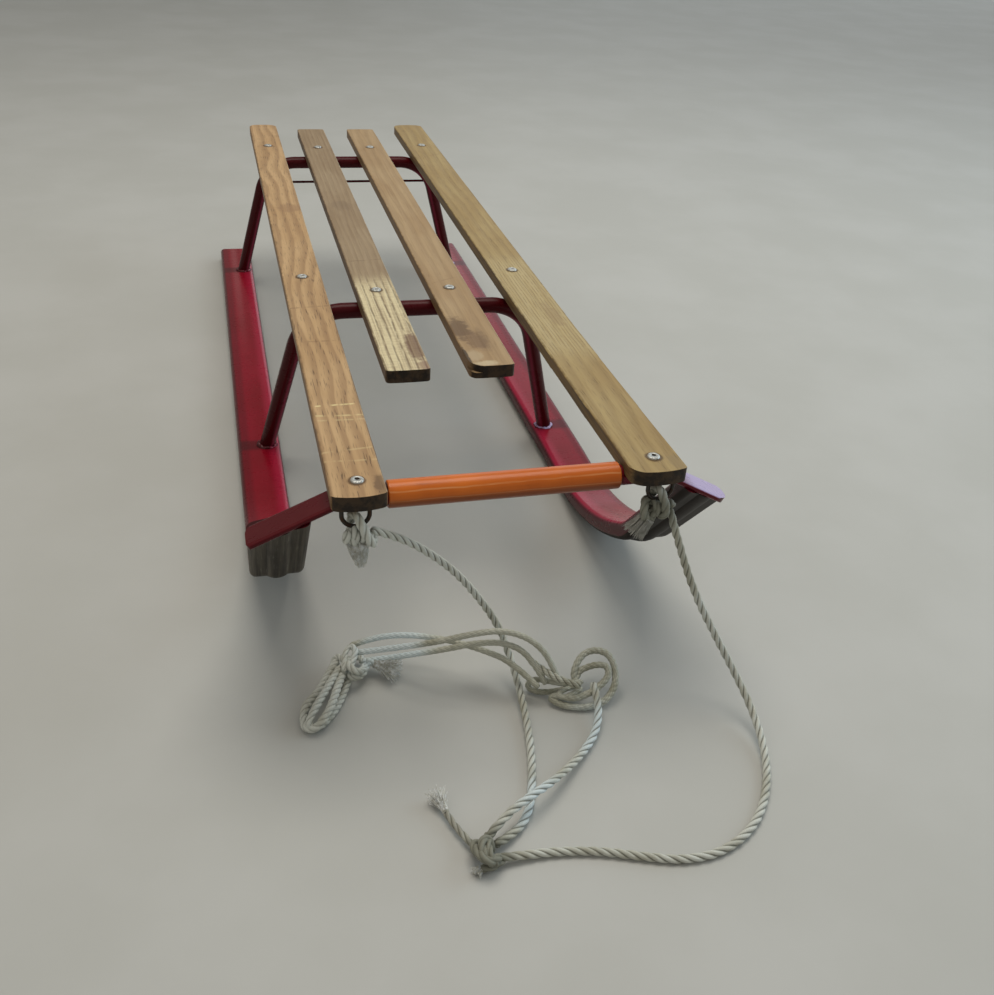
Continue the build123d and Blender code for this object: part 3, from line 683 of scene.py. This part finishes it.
for end, y in (("front", FOOT_FRONT_Y), ("rear", FOOT_REAR_Y)):
    for side, x in (("left", -FOOT_X), ("right", FOOT_X)):
        weld_bead(f"weld_{end}_{side}", x, y)
print("beads", round(2000 * BEAD_RADIUS, 1), "mm thick")

# %% [markdown]
# ## Laid rope
# The pull rope is three strands laid round each other. Seen from its end it is a clover
# leaf, so that leaf is drawn once as a ring of points and pushed along the rope's smooth
# line, turning as it goes. The line itself is a NURBS curve led by a few points, the same
# that the solids follow. The ring keeps two measures for the finish: how far round and
# along each point is, and how deep in the groove it lies.

# %% Lines


def metres(point):
    return [part / 1000 for part in point]


def smooth_line(name, route):
    """Points of the NURBS line that a route's points, in mm, control."""
    curve = bpy.data.curves.new(name, "CURVE")
    curve.dimensions = "3D"
    spline = curve.splines.new("NURBS")
    spline.points.add(len(route) - 1)
    for point, place in zip(spline.points, route):
        point.co = (*metres(place), 1.0)
    spline.order_u = 3
    spline.use_endpoint_u = True
    spline.resolution_u = 16
    holder = bpy.data.objects.new(name, curve)
    scene.collection.objects.link(holder)
    drawn = bpy.data.meshes.new_from_object(holder)
    line = [vertex.co.copy() for vertex in drawn.vertices]
    bpy.data.objects.remove(holder)
    bpy.data.curves.remove(curve)
    bpy.data.meshes.remove(drawn)
    return line


def line_length(line):
    return sum((b - a).length for a, b in zip(line, line[1:]))


def stations(line, spacing):
    """Places at an even spacing, the line's direction at each, and how far along."""
    total = line_length(line)
    count = max(4, round(total / spacing))
    wanted = [total * i / count for i in range(count + 1)]
    places, travelled, leg = [], 0.0, 0
    for distance in wanted:
        while leg < len(line) - 2 and travelled + (line[leg + 1] - line[leg]).length < distance:
            travelled += (line[leg + 1] - line[leg]).length
            leg += 1
        span = (line[leg + 1] - line[leg]).length
        share = min(1.0, (distance - travelled) / span) if span else 0.0
        places.append(line[leg].lerp(line[leg + 1], share))
    both = zip(places[1:] + places[-1:], places[:1] + places[:-1])
    return places, [(ahead - behind).normalized() for ahead, behind in both], wanted


# %% Strands
ROPE_RADIUS = 3.0 * MM
LAY = 25.0 * MM                 # length in which a strand goes once round
STATION = 1.3 * MM              # longest step between rings
RING = 24                       # points in a ring
STRAND_CENTRE = 0.46            # from the rope's middle to a strand's, in rope radii
GROOVE_SIZE = 0.6               # size of the ring where the crest measure is 0
ROUNDED = 1.2                   # rope radii over which an end is rounded


def clover(angle, groove):
    """Radius of three laid strands at an angle, with the outermost at 1."""
    lobe = (angle + math.pi / 3) % (2 * math.pi / 3) - math.pi / 3
    depth = STRAND_CENTRE * math.sin(lobe)
    strand = STRAND_CENTRE * math.cos(lobe) + math.sqrt((1 - STRAND_CENTRE) ** 2 - depth**2)
    return 1.0 - groove * (1.0 - strand)


def laid_rope(
    name, line, material, radius=ROPE_RADIUS, lay=LAY, groove=0.85, end=0.55, wobble=0.0, seed=0
):
    """Three strands pushed along a line, closed at both ends."""
    places, ways, along = stations(line, min(STATION, lay / 9))
    rope = bmesh.new()
    ring_number = rope.verts.layers.int.new("ring")
    station_number = rope.verts.layers.int.new("station")
    crest = rope.verts.layers.float.new("crest")
    fresh = bmesh.ops.create_circle(rope, segments=RING, radius=1.0)["verts"]
    leaf = []
    for number, vert in enumerate(fresh):
        angle = 2 * math.pi * number / RING
        size = clover(angle, groove)
        vert[ring_number] = number
        vert[crest] = (size - GROOVE_SIZE) / (1 - GROOVE_SIZE)
        leaf.append(Vector((size * math.cos(angle), size * math.sin(angle), 0.0)))
    up = ways[0].orthogonal().normalized()
    poses = []
    for place, way, distance in zip(places, ways, along):
        up = (up - way * up.dot(way)).normalized()
        side = way.cross(up)
        turned = Matrix.Rotation(2 * math.pi * distance / lay, 3, way)
        width = radius
        for rest in (distance, along[-1] - distance):
            near = min(1.0, rest / (ROUNDED * radius))
            width *= end + (1 - end) * math.sqrt(1 - (1 - near) ** 2)
        if wobble:
            width *= 1 + wobble * noise.noise(Vector((distance * 90, seed * 7.7, 0.3)))
        basis = Matrix((turned @ up, turned @ side, way)).transposed()
        poses.append((place, basis * width))
    edges = list(rope.edges)
    for number, (place, basis) in enumerate(poses):
        if number:
            grown = bmesh.ops.extrude_edge_only(rope, edges=edges)["geom"]
            fresh = {v for v in grown if isinstance(v, bmesh.types.BMVert)}
            edges = [e for e in grown if isinstance(e, bmesh.types.BMEdge)]
            edges = [e for e in edges if fresh.issuperset(e.verts)]
        for vert in fresh:
            vert[station_number] = number
            vert.co = place + basis @ leaf[vert[ring_number]]
    bmesh.ops.holes_fill(rope, edges=[e for e in rope.edges if e.is_boundary])
    bmesh.ops.recalc_face_normals(rope, faces=rope.faces)
    lie = rope.loops.layers.uv.new("lie")
    for face in rope.faces:
        numbers = [loop.vert[ring_number] for loop in face.loops]
        wraps = len(numbers) == 4 and max(numbers) - min(numbers) > RING / 2
        for loop, number in zip(face.loops, numbers):
            distance = along[loop.vert[station_number]]
            round_it = (number + (RING if wraps and number < RING / 2 else 0)) / RING
            loop[lie].uv = (round_it + distance / lay, distance)
    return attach(show(name, rope, material), "root")


# %% [markdown]
# ## Rope finish
# Polypropylene rope that has lain outdoors: grey-white where the crests are rubbed,
# green-brown in the grooves, where the darkness is partly dirt and partly painted shade,
# and fine yarns that run almost along the rope. The yarns are a sine wave round the rope,
# bent a little by noise. A few stretches get a painted bluish-white reflection of the sky
# and two knots are darker, and each is a ball in space where its own colour shows. The
# opened strands and loops get a second finish of the same recipe with coarser yarns.

# %% Rope finish
# bluish white: a painted reflection of the sky on the rope
SKY_SHEEN = (0.80, 0.90, 0.93)
# darker tone of the knots at the right eye and on the floor
DARKER_KNOT = (0.26, 0.26, 0.21)
# Each spot: its middle, its radius and its tone
rope_spots = [
    ((0.060, -0.552, 0.004), 0.034, SKY_SHEEN), ((-0.075, -0.460, 0.026), 0.036, SKY_SHEEN),
    ((-0.004, -0.606, 0.004), 0.032, SKY_SHEEN), ((-0.046, -0.643, 0.010), 0.026, DARKER_KNOT),
    ((0.103, -0.497, 0.155), 0.026, DARKER_KNOT), ((-0.060, -0.612, 0.005), 0.018, (0.42, 0.41, 0.35)),
]


def rope_finish(name, crest_colour, groove_dirt_and_shade, dirt_colour, yarns):
    finish = Finish(name, {"Roughness": 0.55, "Specular IOR Level": 0.35})
    lie = finish.node("ShaderNodeUVMap", {"uv_map": "lie"}, out="UV")
    round_it = finish.axis(lie, "X")
    along = finish.axis(lie, "Y")
    crest = finish.node("ShaderNodeAttribute", {"attribute_name": "crest"}, out="Fac")
    place = finish.place()
    drift = finish.speckle(place, 160.0, 3.0) - 0.5
    yarn = (round_it * (2 * math.pi * yarns) + drift * 9.0 + along * 900.0).wave()
    stains = finish.speckle(place, 26.0, 4.0, 0.6)
    clean = finish.mix(stains.step(0.42, 0.66), crest_colour, dirt_colour)
    for spot, size, tone in rope_spots:
        reach = finish.reach(place, spot) + (stains - 0.5) * 0.02
        clean = finish.mix(reach.step(size, size * 0.45), clean, tone)
    # the grooves are darker, partly dirt and partly painted shade
    shade = finish.mix(crest.step(0.05, 0.75), groove_dirt_and_shade, clean)
    light = finish.mix((yarn * 0.5 + 0.5) * 0.30, shade, groove_dirt_and_shade)
    relief = crest * 0.6 + yarn * 0.10 + finish.speckle(place, 900.0, 2.0) * 0.25
    return finish.feed(base_color=light, normal=finish.bump(relief, 0.55, 0.0006))


pale_rope = rope_finish(
    "rope_pale", (0.76, 0.78, 0.72), (0.150, 0.148, 0.112), (0.50, 0.49, 0.40), yarns=42.0
)
braid = rope_finish(
    "rope_braid", (0.58, 0.58, 0.49), (0.110, 0.106, 0.075), (0.35, 0.34, 0.25), yarns=9.0
)
print("finishes", pale_rope.name, "and", braid.name)

# %% [markdown]
# ## The rope's lie
# Two sides run from the wire eyes to a knot on the floor. From there one end rises into
# a tangle, and three loosened strands cross from the tangle to a small hank. Each route
# is the same list of points that the solids follow, in mm.

# %% Routes
routes = {
    "rope_right": [
        (115, -497, 158), (126, -505, 124), (140, -514, 89), (156, -524, 59), (171, -537, 32),
        (179, -560, 13), (175, -594, 4), (160, -627, 3), (137, -654, 3), (108, -669, 3),
        (79, -670, 3), (52, -661, 3), (28, -652, 3), (3, -647, 3), (-20, -646, 4), (-41, -647, 7),
    ],
    "rope_left": [
        (-96, -494, 161), (-75, -486, 147), (-53, -478, 126), (-30, -470, 99), (-11, -466, 70),
        (4, -465, 44), (12, -474, 23), (15, -496, 9), (13, -527, 4), (8, -559, 3), (0, -590, 3),
        (-9, -613, 3), (-22, -628, 4), (-39, -637, 7),
    ],
    "rope_tail": [(-49, -641, 7), (-55, -627, 5), (-61, -612, 4), (-63.8, -602.5, 5)],
    "rope_rise": [
        (-43, -634, 12), (-28, -622, 16), (-8, -611, 17), (14, -597, 13), (39, -574, 5),
        (60, -552, 4), (69, -528, 11), (69, -512, 14),
    ],
    "strand_top": [
        (43, -507, 16), (38, -498, 32), (24, -488, 45), (4, -482, 51), (-18, -481, 50),
        (-41, -478, 44), (-62, -469, 35), (-82, -459, 26), (-103, -450, 18),
    ],
    "strand_middle": [
        (34, -505, 13), (24, -493, 32), (7, -485, 41), (-15, -479, 39), (-36, -474, 32),
        (-57, -465, 23), (-77, -456, 14), (-99, -448, 7),
    ],
    "strand_back": [
        (27, -509, 14), (10, -493, 28), (-9, -478, 30), (-29, -464, 30), (-49, -453, 29),
        (-70, -444, 26), (-89, -439, 21), (-105, -439, 16),
    ],
}
lines = {name: smooth_line(name, route) for name, route in routes.items()}
print(len(lines), "routes")

# %% Ropes
for name, line in lines.items():
    opened = name.startswith("strand")
    if opened:
        rope = laid_rope(f"{name}_laid", line, braid, 2.5 * MM, lay=14 * MM, groove=0.32, end=0.8)
    else:
        thin = 0.6 * MM if name == "rope_tail" else 0.0
        rope = laid_rope(f"{name}_laid", line, pale_rope, ROPE_RADIUS - thin)
    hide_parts(name)
    print(name, round(1000 * line_length(line)), "mm of rope,", len(rope.data.polygons), "faces")

# %% [markdown]
# ## Knots, loops and frayed ends
# Each wire eye holds one side of the rope by a hitch: a bight comes through the eye and
# hangs over the wire, two turns go round below it, and the cut end sticks out as a tuft.
# On the floor the two sides meet in another knot. The turns of a knot are points on a
# short coil, and every other line is a few listed points. A frayed end is a bundle of
# hairs, and each hair is a tiny circle spun a little way round a far centre, which bends
# it outwards.

# %% Hair finish
RIGHT_TUFT = (0.098, -0.501, 0.146)
fluff = Finish("rope_hairs")
hair_place = fluff.place()
hair_cloud = fluff.speckle(hair_place, 420.0, 3.0)
hair_tone = fluff.mix(hair_cloud.step(0.35, 0.65), (0.86, 0.88, 0.89), (0.56, 0.55, 0.47))
# the hairs are darker near the right eye
hair_darker = fluff.reach(hair_place, RIGHT_TUFT).step(0.030, 0.010) * 0.85
hair_tone = fluff.mix(hair_darker, hair_tone, (0.34, 0.33, 0.29))
fluff.feed(base_color=hair_tone, roughness=hair_cloud * 0.3 + 0.35)
print(fluff.material.name, "has", len(fluff.tree.nodes), "nodes")

# %% Turns and frayed ends
HAIR_RADII = 0.09, 0.19         # thinnest and thickest, in mm
LEAST_BEND = 0.06               # a quarter turn is 1.57
OVER_FLOOR = 0.3 * MM
TURN_POINTS = 8                 # in one turn of a coil


def turns(start, end, radius, count, first):
    """Points of a coil round the line from start to end."""
    start, end = Vector(start), Vector(end)
    way = (end - start).normalized()
    up = (Vector((0, 0, 1)) - way * way.z).normalized()
    side = way.cross(up)
    total = round(TURN_POINTS * count)
    coil = []
    for number in range(total + 1):
        angle = first + 2 * math.pi * number / TURN_POINTS
        out = up * math.cos(angle) + side * math.sin(angle)
        coil.append(tuple(start.lerp(end, number / total) + out * radius))
    return coil


def fray(name, root, way, length, root_radius, spread, hairs, seed):
    """Loose hairs of a cut end, from mm. A negative spread draws them together."""
    dice = random.Random(seed)
    way = Vector(way).normalized()
    side = way.orthogonal().normalized()
    other = way.cross(side)
    basis = Matrix((side, other, way)).transposed()
    tuft = bmesh.new()
    for _ in range(hairs):
        angle, share = dice.uniform(0, 2 * math.pi), math.sqrt(dice.random())
        out = side * math.cos(angle) + other * math.sin(angle)
        start = MM * (Vector(root) + out * root_radius * share)
        bend = math.copysign(LEAST_BEND, spread) + spread * share * dice.uniform(0.5, 1.2)
        reach = MM * length * dice.uniform(0.50, 1.0)
        thin = dice.uniform(*HAIR_RADII) * MM
        hair = bmesh.ops.create_circle(tuft, segments=4, radius=thin)["verts"]
        for vert in hair:
            vert.co = start + basis @ vert.co
        edges = list({edge for vert in hair for edge in vert.link_edges})
        centre = start + out * (reach / bend)
        bmesh.ops.spin(tuft, geom=edges, cent=centre, axis=out.cross(way), angle=-bend, steps=5)
    bmesh.ops.holes_fill(tuft, edges=[edge for edge in tuft.edges if edge.is_boundary])
    bmesh.ops.recalc_face_normals(tuft, faces=tuft.faces)
    for vert in tuft.verts:
        vert.co.z = max(vert.co.z, OVER_FLOOR)
    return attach(show(name, tuft, fluff.material), "root")


# %% [markdown]
# The tangle is one strand that makes a tall loop leaning back, comes round its foot and
# folds into the middle, with a small loop, an eyelet and a straight finger beside it.
# The hank is two long narrow loops side by side with a lumpy knot at their top, a pale
# bight that stands up from it and a white frayed end.

# %% Knot lines
# Each line: the node that it stands for, its part, radius and points, all in mm
knot_lines = [
    ("knot_eye_left", "bight", 3.4, [
        (-108.5, -488.5, 165), (-108.5, -489, 171.5), (-107, -493.5, 175.5),
        (-104.5, -498.5, 172.5), (-101.5, -501.5, 165.5), (-98.5, -502, 158.5),
        (-96, -500, 154), (-95, -496, 154.5), (-97, -493, 159),
    ]),
    ("knot_eye_left", "turns", 3.0,
     turns((-113.5, -495.5, 161), (-100.5, -495.5, 158), 4.5, 2.4, 0.6)),
    ("knot_eye_left", "stub", 3.0, [
        (-111, -499, 160), (-107.5, -500.5, 156), (-105.5, -500, 152), (-104.5, -499, 147),
    ]),
    ("knot_eye_right", "bight", 3.3, [
        (104, -488.5, 165), (104, -489, 171), (105, -493, 175), (106.5, -498.5, 172.5),
        (108.5, -501.8, 166), (110, -502, 159.5), (109.5, -500, 154.5), (107.5, -496.5, 153),
    ]),
    ("knot_eye_right", "turns", 3.1,
     turns((98.5, -495.5, 160.5), (116.5, -495.5, 157), 4.2, 2.7, 2.2)),
    ("knot_eye_right", "wrap", 3.2, [
        (102, -489.5, 162.5), (97.5, -492.5, 165), (94.5, -498.5, 164), (93.5, -502, 160),
        (94.5, -502.5, 155.5), (97.5, -500.5, 152.5), (103, -497.5, 152),
    ]),
    ("knot_eye_right", "stub", 3.4, [
        (105, -496, 160), (102, -498.5, 156), (100, -499, 152), (98, -498.5, 148),
    ]),
    ("knot_floor", "turns", 3.0, [
        (-38.2, -647.3, 9), (-44.3, -653.1, 12), (-49.4, -652.1, 14), (-52.2, -645.4, 13),
        (-53.3, -637.2, 9), (-50.2, -630.5, 5), (-45.6, -633.5, 3.8), (-42.6, -640, 4),
        (-41, -638.1, 8), (-43, -634.6, 12), (-47.9, -637.7, 14), (-49.3, -646.1, 14),
        (-46.7, -651.9, 11), (-42.5, -651.8, 8),
    ]),
    ("knot_floor", "band", 2.4, [
        (-41.9, -628.3, 8), (-44, -638.4, 13), (-45.3, -648.4, 15), (-43.6, -652.5, 12),
        (-41.2, -652, 7),
    ]),
    ("knot_floor", "cut_end", 3.0, [
        (-35, -647, 5), (-40, -649.5, 4.8), (-46, -650.8, 4.2), (-51.6, -650.2, 3.4),
    ]),
    ("tangle", "loop", 2.8, [
        (58.4, -505.5, 9), (57.6, -500.7, 12), (59.5, -496.4, 18), (65.8, -490.5, 23),
        (72.8, -488.2, 25), (79.7, -489.4, 26), (85.9, -492.9, 25), (88.9, -499.4, 22),
        (89.1, -506.5, 17), (87.3, -513.1, 12), (82.8, -519, 9), (76.7, -523.4, 6),
        (69.1, -525.3, 4), (59.5, -525.7, 3.5), (48.7, -522.5, 3.2), (40.5, -518.3, 4),
        (35.4, -512.4, 5), (40.1, -513.2, 8), (46.2, -518.7, 9), (54.4, -520.2, 9),
        (63.5, -518.7, 10), (72.4, -515.3, 12), (79.8, -511.6, 15), (84, -506.6, 18),
        (82.5, -501.7, 21), (75.1, -499.8, 21), (67.8, -498.5, 18), (62.5, -498.1, 15),
        (59.6, -501.1, 11), (55.1, -508.2, 9),
    ]),
    ("tangle", "small_loop", 2.4, [
        (61, -508.8, 12), (51.3, -507.5, 9), (44.6, -506.9, 6), (36.6, -504.9, 4),
        (28.6, -502.3, 3), (23.1, -497.9, 3.5), (22.9, -495, 7), (27.7, -495.2, 10),
        (34.6, -501, 13), (42.2, -506.8, 14), (52.1, -508.7, 13), (62.8, -507, 12),
    ]),
    ("tangle", "finger", 3.0, [
        (57.3, -516.9, 17.5), (48.4, -514.1, 20), (39.7, -508.5, 21.5), (33.1, -501, 22.5),
        (28.5, -494.4, 23.5), (25.2, -488, 23.5),
    ]),
    ("tangle", "eyelet", 2.3, [
        (60.3, -509.2, 10), (53.4, -510.1, 11), (45.7, -512, 11), (41.1, -514.4, 10),
        (43.2, -518.1, 9), (50.8, -518.4, 11), (60.2, -513.6, 12),
    ]),
    ("hank", "front", 3.2, [
        (-111.5, -456.9, 10), (-117.2, -472.7, 13), (-121.7, -486, 14), (-126, -497.9, 14),
        (-131.5, -507.2, 12), (-137.1, -512.1, 8), (-142.8, -512, 5), (-147.1, -508.1, 4.5),
        (-147.3, -500, 6), (-145, -491.1, 7), (-140, -484.7, 8), (-134.3, -479.3, 10),
        (-128.1, -470.7, 12), (-122.4, -459.4, 12), (-116.6, -449, 11),
    ]),
    ("hank", "under", 3.0, [
        (-106.5, -459, 7), (-113, -473.5, 5), (-119, -485.5, 4), (-125.4, -496.4, 3.5),
        (-133, -506.3, 3.5), (-140.6, -510.4, 4), (-144.6, -509.6, 8), (-141, -503.3, 12),
        (-135, -494.1, 14), (-128.7, -483.6, 15), (-122.2, -471.8, 15), (-115.4, -458.4, 13),
    ]),
    ("hank", "knot", 2.9, [
        (-120.1, -458.7, 9), (-119.5, -447.4, 10), (-115.4, -445.7, 13), (-111.2, -455.7, 17),
        (-108.2, -467.7, 19), (-103.4, -470.8, 16), (-96.8, -460.8, 11), (-95.6, -447.1, 8),
        (-101.7, -440.1, 6), (-108.7, -445.9, 6), (-111.2, -460.4, 9), (-107.2, -470.1, 11),
        (-100, -467, 9), (-96, -460, 10), (-93.5, -454.5, 10.5), (-90.5, -454, 10),
        (-87.5, -455.5, 9.5),
    ]),
    ("hank", "bight", 2.4, [
        (-113.4, -466.7, 15), (-112.2, -457.9, 19), (-109.7, -450.2, 22), (-105.4, -446.9, 23),
        (-102.3, -451.6, 22), (-104.8, -459.2, 19), (-110.3, -466.2, 16),
    ]),
]
print(len(knot_lines), "knot lines")

# %% Knots and frayed ends
# Each frayed end: node, part, root, direction, length, radius at the root, spread, hairs
frayed_ends = [
    ("knot_eye_left", "tuft", (-106.2, -499.5, 155.5), (0.12, -0.05, -1.0), 20, 7.2, -0.60, 420),
    ("knot_eye_right", "tuft", (97.5, -499.5, 154.5), (-0.60, -0.05, -0.80), 17.2, 6.2, 0.30, 440),
    ("knot_floor", "tuft", (-51, -650, 3.6), (-0.8, -0.5, -0.15), 6, 2.6, 0.9, 90),
    ("knot_floor", "tail_tuft", (-63.4, -604, 5), (-0.22, 1.0, 0.05), 20, 2.3, 0.62, 260),
    ("hank", "tuft", (-89, -455, 9), (1.0, -0.60, -0.05), 23, 3.4, 0.85, 380),
]
# Lay in mm and groove depth of a node's ropes or of one part
lays = {"tangle": (13, 0.38), "finger": (18, 0.80), "hank": (17, 0.62)}
KNOT_LAY = 24, 0.72
knot_pieces = {}
for node, part, radius, points in knot_lines:
    line = smooth_line(f"{node}_{part}", points)
    finish = braid if node == "tangle" else pale_rope
    lay, groove = lays.get(part, lays.get(node, KNOT_LAY))
    piece = laid_rope(
        f"{node}_{part}", line, finish, radius * MM, lay * MM, groove, end=0.6, wobble=0.16,
        seed=len(knot_pieces),
    )
    knot_pieces.setdefault(node, []).append(piece)
for seed, (node, part, *facts) in enumerate(frayed_ends):
    knot_pieces[node].append(fray(f"{node}_{part}", *facts, seed))
for node, pieces in knot_pieces.items():
    for piece in pieces:
        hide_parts(node)
    print(node, "has", len(pieces), "pieces,", sum(len(p.data.polygons) for p in pieces), "faces")

# %% [markdown]
# ## Free cords
# Every rope lies loose. The table gives each its length, its thickness and the knot that
# goes with the cord that ends in it, and only the tail ends bare. The loop only works out
# where each route starts and how it ends.

# %% Cord facts
# Each cord: its length, its thickness and the knot whose pieces go with it
cords = {
    "rope_right": (0.465, 0.006, "knot_eye_right"), "rope_left": (0.367, 0.006, "knot_eye_left"),
    "rope_tail": (0.042, 0.006, "knot_floor"), "rope_rise": (0.176, 0.006, "tangle"),
    "strand_top": (0.180, 0.005, "hank"), "strand_middle": (0.163, 0.005, None),
    "strand_back": (0.158, 0.005, None),
}
for name, (length, diameter, knot) in cords.items():
    metres(routes[name][0])
    "bare" if name == "rope_tail" else "knot"
print(len(cords), "cords")
